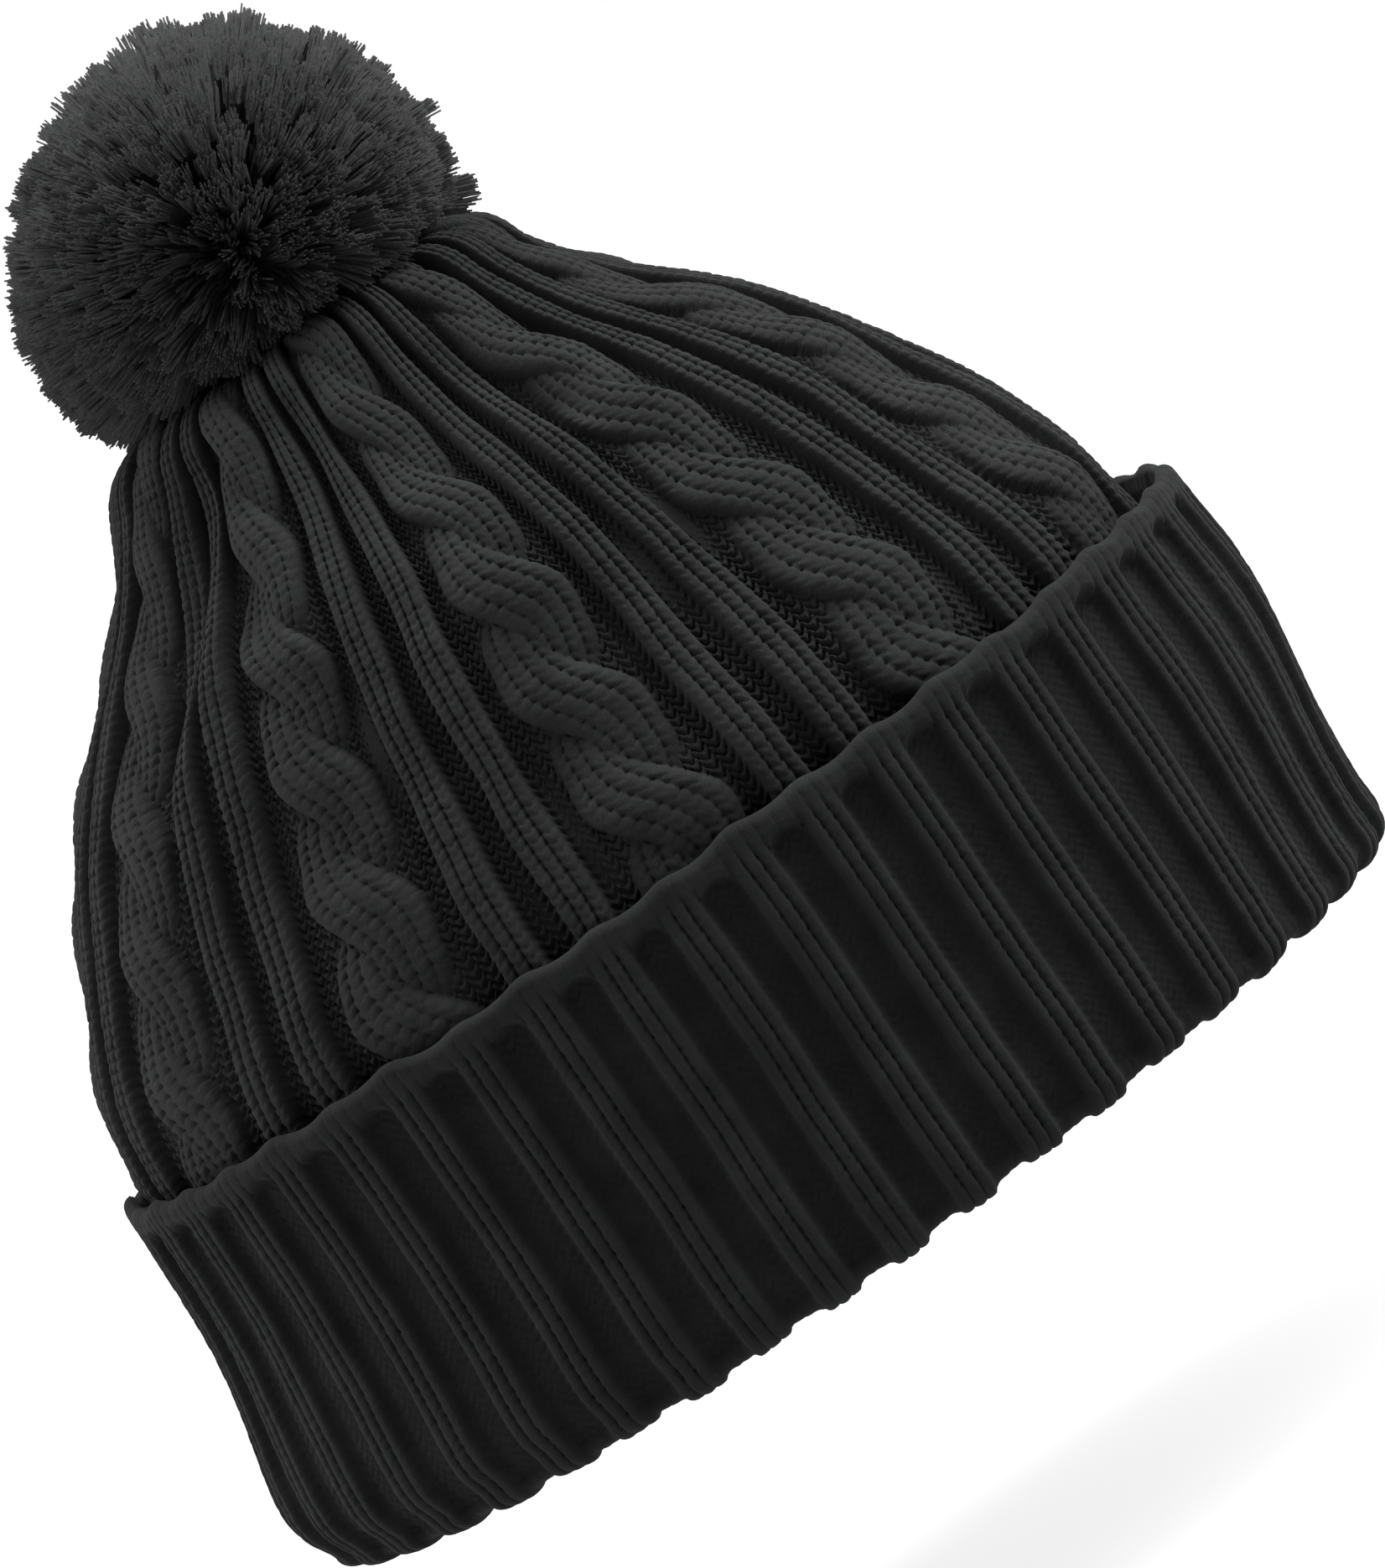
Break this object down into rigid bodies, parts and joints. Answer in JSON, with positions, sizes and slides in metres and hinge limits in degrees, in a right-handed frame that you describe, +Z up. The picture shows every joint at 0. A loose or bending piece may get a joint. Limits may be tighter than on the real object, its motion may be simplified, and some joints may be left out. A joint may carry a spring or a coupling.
{
  "type": "knit beanie",
  "caption": "Dark cable-knit beanie with a deep turned-up ribbed cuff that folds down and a large yarn pompom tied on a short cord.",
  "frame": {"origin": "middle of the hat on the surface that its folded edge stands on", "axes": "+Z up along the hat from the folded edge to the pompom, -Y the front, X across the wider way"},
  "size_m": [0.2219, 0.1804, 0.236],
  "materials": {
    "charcoal_knit": "soft matte acrylic knit",
    "pompom_yarn": "cut loose-twist yarn",
    "tie_yarn": "tight twisted yarn",
    "seam_yarn": "twisted yarn",
    "label_tape": "woven satin tape, blank"
  },
  "bodies": {
    "root": {"knit_body": "charcoal_knit", "back_seam": "seam_yarn", "care_label": "label_tape", "crown_gather_thread": "tie_yarn", "tie_cord": "tie_yarn", "tie_knot": "tie_yarn"},
    "cuff_rib_01": {"cuff_rib_01": "charcoal_knit"},
    "cuff_rib_02": {"cuff_rib_02": "charcoal_knit"},
    "cuff_rib_03": {"cuff_rib_03": "charcoal_knit"},
    "cuff_rib_04": {"cuff_rib_04": "charcoal_knit"},
    "cuff_rib_05": {"cuff_rib_05": "charcoal_knit"},
    "cuff_rib_06": {"cuff_rib_06": "charcoal_knit"},
    "cuff_rib_07": {"cuff_rib_07": "charcoal_knit"},
    "cuff_rib_08": {"cuff_rib_08": "charcoal_knit"},
    "cuff_rib_09": {"cuff_rib_09": "charcoal_knit"},
    "cuff_rib_10": {"cuff_rib_10": "charcoal_knit"},
    "cuff_rib_11": {"cuff_rib_11": "charcoal_knit"},
    "cuff_rib_12": {"cuff_rib_12": "charcoal_knit"},
    "cuff_rib_13": {"cuff_rib_13": "charcoal_knit"},
    "cuff_rib_14": {"cuff_rib_14": "charcoal_knit"},
    "cuff_rib_15": {"cuff_rib_15": "charcoal_knit"},
    "cuff_rib_16": {"cuff_rib_16": "charcoal_knit"},
    "cuff_rib_17": {"cuff_rib_17": "charcoal_knit"},
    "cuff_rib_18": {"cuff_rib_18": "charcoal_knit"},
    "cuff_rib_19": {"cuff_rib_19": "charcoal_knit"},
    "cuff_rib_20": {"cuff_rib_20": "charcoal_knit"},
    "cuff_rib_21": {"cuff_rib_21": "charcoal_knit"},
    "cuff_rib_22": {"cuff_rib_22": "charcoal_knit"},
    "cuff_rib_23": {"cuff_rib_23": "charcoal_knit"},
    "cuff_rib_24": {"cuff_rib_24": "charcoal_knit"},
    "cuff_rib_25": {"cuff_rib_25": "charcoal_knit"},
    "cuff_rib_26": {"cuff_rib_26": "charcoal_knit"},
    "cuff_rib_27": {"cuff_rib_27": "charcoal_knit"},
    "cuff_rib_28": {"cuff_rib_28": "charcoal_knit"},
    "cuff_rib_29": {"cuff_rib_29": "charcoal_knit"},
    "cuff_rib_30": {"cuff_rib_30": "charcoal_knit"},
    "cuff_rib_31": {"cuff_rib_31": "charcoal_knit"},
    "cuff_rib_32": {"cuff_rib_32": "charcoal_knit"},
    "cuff_rib_33": {"cuff_rib_33": "charcoal_knit"},
    "cuff_rib_34": {"cuff_rib_34": "charcoal_knit"},
    "cuff_rib_35": {"cuff_rib_35": "charcoal_knit"},
    "cuff_rib_36": {"cuff_rib_36": "charcoal_knit"},
    "cuff_rib_37": {"cuff_rib_37": "charcoal_knit"},
    "cuff_rib_38": {"cuff_rib_38": "charcoal_knit"},
    "cuff_rib_39": {"cuff_rib_39": "charcoal_knit"},
    "cuff_rib_40": {"cuff_rib_40": "charcoal_knit"},
    "cuff_rib_41": {"cuff_rib_41": "charcoal_knit"},
    "cuff_rib_42": {"cuff_rib_42": "charcoal_knit"},
    "cuff_rib_43": {"cuff_rib_43": "charcoal_knit"},
    "cuff_rib_44": {"cuff_rib_44": "charcoal_knit"},
    "tie_neck": {"tie_neck": "tie_yarn"},
    "pompom": {"pompom_stem": "tie_yarn", "pompom_binding": "tie_yarn", "pompom_yarn": "pompom_yarn"}
  },
  "joints": [
    {"name": "cuff_turn", "type": "hinge", "parent": "root", "child": "cuff_rib_01", "pos_m": [0, -0.0853, 0.0047], "axis": [1, 0, 0], "range_deg": [0, 179]},
    {"name": "cuff_turn_02", "type": "hinge", "parent": "root", "child": "cuff_rib_02", "pos_m": [0.01362, -0.08458, 0.0047], "axis": [0.9945, 0.1051, 0], "range_deg": [0, 179]},
    {"name": "cuff_turn_03", "type": "hinge", "parent": "root", "child": "cuff_rib_03", "pos_m": [0.02709, -0.08243, 0.0047], "axis": [0.9775, 0.2108, 0], "range_deg": [0, 179]},
    {"name": "cuff_turn_04", "type": "hinge", "parent": "root", "child": "cuff_rib_04", "pos_m": [0.04025, -0.07882, 0.0047], "axis": [0.9482, 0.3177, 0], "range_deg": [0, 179]},
    {"name": "cuff_turn_05", "type": "hinge", "parent": "root", "child": "cuff_rib_05", "pos_m": [0.05291, -0.07375, 0.0047], "axis": [0.9048, 0.4259, 0], "range_deg": [0, 179]},
    {"name": "cuff_turn_06", "type": "hinge", "parent": "root", "child": "cuff_rib_06", "pos_m": [0.06486, -0.0672, 0.0047], "axis": [0.8448, 0.5351, 0], "range_deg": [0, 179]},
    {"name": "cuff_turn_07", "type": "hinge", "parent": "root", "child": "cuff_rib_07", "pos_m": [0.07587, -0.05915, 0.0047], "axis": [0.7651, 0.644, 0], "range_deg": [0, 179]},
    {"name": "cuff_turn_08", "type": "hinge", "parent": "root", "child": "cuff_rib_08", "pos_m": [0.08564, -0.04963, 0.0047], "axis": [0.662, 0.7495, 0], "range_deg": [0, 179]},
    {"name": "cuff_turn_09", "type": "hinge", "parent": "root", "child": "cuff_rib_09", "pos_m": [0.09382, -0.03873, 0.0047], "axis": [0.5325, 0.8464, 0], "range_deg": [0, 179]},
    {"name": "cuff_turn_10", "type": "hinge", "parent": "root", "child": "cuff_rib_10", "pos_m": [0.10005, -0.02661, 0.0047], "axis": [0.3756, 0.9268, 0], "range_deg": [0, 179]},
    {"name": "cuff_turn_11", "type": "hinge", "parent": "root", "child": "cuff_rib_11", "pos_m": [0.10396, -0.01356, 0.0047], "axis": [0.1949, 0.9808, 0], "range_deg": [0, 179]},
    {"name": "cuff_turn_12", "type": "hinge", "parent": "root", "child": "cuff_rib_12", "pos_m": [0.1053, 0, 0.0047], "axis": [0, 1, 0], "range_deg": [0, 179]},
    {"name": "cuff_turn_13", "type": "hinge", "parent": "root", "child": "cuff_rib_13", "pos_m": [0.10396, 0.01356, 0.0047], "axis": [-0.1949, 0.9808, 0], "range_deg": [0, 179]},
    {"name": "cuff_turn_14", "type": "hinge", "parent": "root", "child": "cuff_rib_14", "pos_m": [0.10004, 0.02661, 0.0047], "axis": [-0.3756, 0.9268, 0], "range_deg": [0, 179]},
    {"name": "cuff_turn_15", "type": "hinge", "parent": "root", "child": "cuff_rib_15", "pos_m": [0.09382, 0.03873, 0.0047], "axis": [-0.5325, 0.8464, 0], "range_deg": [0, 179]},
    {"name": "cuff_turn_16", "type": "hinge", "parent": "root", "child": "cuff_rib_16", "pos_m": [0.08564, 0.04964, 0.0047], "axis": [-0.662, 0.7495, 0], "range_deg": [0, 179]},
    {"name": "cuff_turn_17", "type": "hinge", "parent": "root", "child": "cuff_rib_17", "pos_m": [0.07587, 0.05915, 0.0047], "axis": [-0.7651, 0.644, 0], "range_deg": [0, 179]},
    {"name": "cuff_turn_18", "type": "hinge", "parent": "root", "child": "cuff_rib_18", "pos_m": [0.06486, 0.0672, 0.0047], "axis": [-0.8448, 0.5351, 0], "range_deg": [0, 179]},
    {"name": "cuff_turn_19", "type": "hinge", "parent": "root", "child": "cuff_rib_19", "pos_m": [0.0529, 0.07375, 0.0047], "axis": [-0.9048, 0.4259, 0], "range_deg": [0, 179]},
    {"name": "cuff_turn_20", "type": "hinge", "parent": "root", "child": "cuff_rib_20", "pos_m": [0.04024, 0.07883, 0.0047], "axis": [-0.9482, 0.3177, 0], "range_deg": [0, 179]},
    {"name": "cuff_turn_21", "type": "hinge", "parent": "root", "child": "cuff_rib_21", "pos_m": [0.02709, 0.08243, 0.0047], "axis": [-0.9775, 0.2108, 0], "range_deg": [0, 179]},
    {"name": "cuff_turn_22", "type": "hinge", "parent": "root", "child": "cuff_rib_22", "pos_m": [0.01362, 0.08458, 0.0047], "axis": [-0.9945, 0.1051, 0], "range_deg": [0, 179]},
    {"name": "cuff_turn_23", "type": "hinge", "parent": "root", "child": "cuff_rib_23", "pos_m": [0, 0.0853, 0.0047], "axis": [-1, 0, 0], "range_deg": [0, 179]},
    {"name": "cuff_turn_24", "type": "hinge", "parent": "root", "child": "cuff_rib_24", "pos_m": [-0.01362, 0.08458, 0.0047], "axis": [-0.9945, -0.1051, 0], "range_deg": [0, 179]},
    {"name": "cuff_turn_25", "type": "hinge", "parent": "root", "child": "cuff_rib_25", "pos_m": [-0.02709, 0.08243, 0.0047], "axis": [-0.9775, -0.2108, 0], "range_deg": [0, 179]},
    {"name": "cuff_turn_26", "type": "hinge", "parent": "root", "child": "cuff_rib_26", "pos_m": [-0.04025, 0.07882, 0.0047], "axis": [-0.9482, -0.3177, 0], "range_deg": [0, 179]},
    {"name": "cuff_turn_27", "type": "hinge", "parent": "root", "child": "cuff_rib_27", "pos_m": [-0.05291, 0.07375, 0.0047], "axis": [-0.9048, -0.4259, 0], "range_deg": [0, 179]},
    {"name": "cuff_turn_28", "type": "hinge", "parent": "root", "child": "cuff_rib_28", "pos_m": [-0.06486, 0.0672, 0.0047], "axis": [-0.8448, -0.5351, 0], "range_deg": [0, 179]},
    {"name": "cuff_turn_29", "type": "hinge", "parent": "root", "child": "cuff_rib_29", "pos_m": [-0.07587, 0.05915, 0.0047], "axis": [-0.7651, -0.644, 0], "range_deg": [0, 179]},
    {"name": "cuff_turn_30", "type": "hinge", "parent": "root", "child": "cuff_rib_30", "pos_m": [-0.08564, 0.04963, 0.0047], "axis": [-0.662, -0.7495, 0], "range_deg": [0, 179]},
    {"name": "cuff_turn_31", "type": "hinge", "parent": "root", "child": "cuff_rib_31", "pos_m": [-0.09382, 0.03873, 0.0047], "axis": [-0.5325, -0.8464, 0], "range_deg": [0, 179]},
    {"name": "cuff_turn_32", "type": "hinge", "parent": "root", "child": "cuff_rib_32", "pos_m": [-0.10005, 0.02661, 0.0047], "axis": [-0.3756, -0.9268, 0], "range_deg": [0, 179]},
    {"name": "cuff_turn_33", "type": "hinge", "parent": "root", "child": "cuff_rib_33", "pos_m": [-0.10396, 0.01356, 0.0047], "axis": [-0.1949, -0.9808, 0], "range_deg": [0, 179]},
    {"name": "cuff_turn_34", "type": "hinge", "parent": "root", "child": "cuff_rib_34", "pos_m": [-0.1053, 0, 0.0047], "axis": [0, -1, 0], "range_deg": [0, 179]},
    {"name": "cuff_turn_35", "type": "hinge", "parent": "root", "child": "cuff_rib_35", "pos_m": [-0.10396, -0.01356, 0.0047], "axis": [0.1949, -0.9808, 0], "range_deg": [0, 179]},
    {"name": "cuff_turn_36", "type": "hinge", "parent": "root", "child": "cuff_rib_36", "pos_m": [-0.10004, -0.02661, 0.0047], "axis": [0.3756, -0.9268, 0], "range_deg": [0, 179]},
    {"name": "cuff_turn_37", "type": "hinge", "parent": "root", "child": "cuff_rib_37", "pos_m": [-0.09382, -0.03873, 0.0047], "axis": [0.5325, -0.8464, 0], "range_deg": [0, 179]},
    {"name": "cuff_turn_38", "type": "hinge", "parent": "root", "child": "cuff_rib_38", "pos_m": [-0.08564, -0.04964, 0.0047], "axis": [0.662, -0.7495, 0], "range_deg": [0, 179]},
    {"name": "cuff_turn_39", "type": "hinge", "parent": "root", "child": "cuff_rib_39", "pos_m": [-0.07587, -0.05915, 0.0047], "axis": [0.7651, -0.644, 0], "range_deg": [0, 179]},
    {"name": "cuff_turn_40", "type": "hinge", "parent": "root", "child": "cuff_rib_40", "pos_m": [-0.06486, -0.0672, 0.0047], "axis": [0.8448, -0.5351, 0], "range_deg": [0, 179]},
    {"name": "cuff_turn_41", "type": "hinge", "parent": "root", "child": "cuff_rib_41", "pos_m": [-0.0529, -0.07375, 0.0047], "axis": [0.9048, -0.4259, 0], "range_deg": [0, 179]},
    {"name": "cuff_turn_42", "type": "hinge", "parent": "root", "child": "cuff_rib_42", "pos_m": [-0.04024, -0.07883, 0.0047], "axis": [0.9482, -0.3177, 0], "range_deg": [0, 179]},
    {"name": "cuff_turn_43", "type": "hinge", "parent": "root", "child": "cuff_rib_43", "pos_m": [-0.02709, -0.08243, 0.0047], "axis": [0.9775, -0.2108, 0], "range_deg": [0, 179]},
    {"name": "cuff_turn_44", "type": "hinge", "parent": "root", "child": "cuff_rib_44", "pos_m": [-0.01362, -0.08458, 0.0047], "axis": [0.9945, -0.1051, 0], "range_deg": [0, 179]},
    {"name": "pompom_sway", "type": "hinge", "parent": "root", "child": "tie_neck", "pos_m": [0.00447, 0, 0.1812], "axis": [0, 1, 0], "range_deg": [-10, 10], "stiffness_Nm_per_rad": 0.06},
    {"name": "pompom_nod", "type": "hinge", "parent": "tie_neck", "child": "pompom", "pos_m": [0.00447, 0, 0.1812], "axis": [1, 0, 0], "range_deg": [-10, 10], "stiffness_Nm_per_rad": 0.06}
  ],
  "couplings": [
    {"joint": "cuff_turn_02", "follows": "cuff_turn", "ratio": 1},
    {"joint": "cuff_turn_03", "follows": "cuff_turn", "ratio": 1},
    {"joint": "cuff_turn_04", "follows": "cuff_turn", "ratio": 1},
    {"joint": "cuff_turn_05", "follows": "cuff_turn", "ratio": 1},
    {"joint": "cuff_turn_06", "follows": "cuff_turn", "ratio": 1},
    {"joint": "cuff_turn_07", "follows": "cuff_turn", "ratio": 1},
    {"joint": "cuff_turn_08", "follows": "cuff_turn", "ratio": 1},
    {"joint": "cuff_turn_09", "follows": "cuff_turn", "ratio": 1},
    {"joint": "cuff_turn_10", "follows": "cuff_turn", "ratio": 1},
    {"joint": "cuff_turn_11", "follows": "cuff_turn", "ratio": 1},
    {"joint": "cuff_turn_12", "follows": "cuff_turn", "ratio": 1},
    {"joint": "cuff_turn_13", "follows": "cuff_turn", "ratio": 1},
    {"joint": "cuff_turn_14", "follows": "cuff_turn", "ratio": 1},
    {"joint": "cuff_turn_15", "follows": "cuff_turn", "ratio": 1},
    {"joint": "cuff_turn_16", "follows": "cuff_turn", "ratio": 1},
    {"joint": "cuff_turn_17", "follows": "cuff_turn", "ratio": 1},
    {"joint": "cuff_turn_18", "follows": "cuff_turn", "ratio": 1},
    {"joint": "cuff_turn_19", "follows": "cuff_turn", "ratio": 1},
    {"joint": "cuff_turn_20", "follows": "cuff_turn", "ratio": 1},
    {"joint": "cuff_turn_21", "follows": "cuff_turn", "ratio": 1},
    {"joint": "cuff_turn_22", "follows": "cuff_turn", "ratio": 1},
    {"joint": "cuff_turn_23", "follows": "cuff_turn", "ratio": 1},
    {"joint": "cuff_turn_24", "follows": "cuff_turn", "ratio": 1},
    {"joint": "cuff_turn_25", "follows": "cuff_turn", "ratio": 1},
    {"joint": "cuff_turn_26", "follows": "cuff_turn", "ratio": 1},
    {"joint": "cuff_turn_27", "follows": "cuff_turn", "ratio": 1},
    {"joint": "cuff_turn_28", "follows": "cuff_turn", "ratio": 1},
    {"joint": "cuff_turn_29", "follows": "cuff_turn", "ratio": 1},
    {"joint": "cuff_turn_30", "follows": "cuff_turn", "ratio": 1},
    {"joint": "cuff_turn_31", "follows": "cuff_turn", "ratio": 1},
    {"joint": "cuff_turn_32", "follows": "cuff_turn", "ratio": 1},
    {"joint": "cuff_turn_33", "follows": "cuff_turn", "ratio": 1},
    {"joint": "cuff_turn_34", "follows": "cuff_turn", "ratio": 1},
    {"joint": "cuff_turn_35", "follows": "cuff_turn", "ratio": 1},
    {"joint": "cuff_turn_36", "follows": "cuff_turn", "ratio": 1},
    {"joint": "cuff_turn_37", "follows": "cuff_turn", "ratio": 1},
    {"joint": "cuff_turn_38", "follows": "cuff_turn", "ratio": 1},
    {"joint": "cuff_turn_39", "follows": "cuff_turn", "ratio": 1},
    {"joint": "cuff_turn_40", "follows": "cuff_turn", "ratio": 1},
    {"joint": "cuff_turn_41", "follows": "cuff_turn", "ratio": 1},
    {"joint": "cuff_turn_42", "follows": "cuff_turn", "ratio": 1},
    {"joint": "cuff_turn_43", "follows": "cuff_turn", "ratio": 1},
    {"joint": "cuff_turn_44", "follows": "cuff_turn", "ratio": 1}
  ]
}
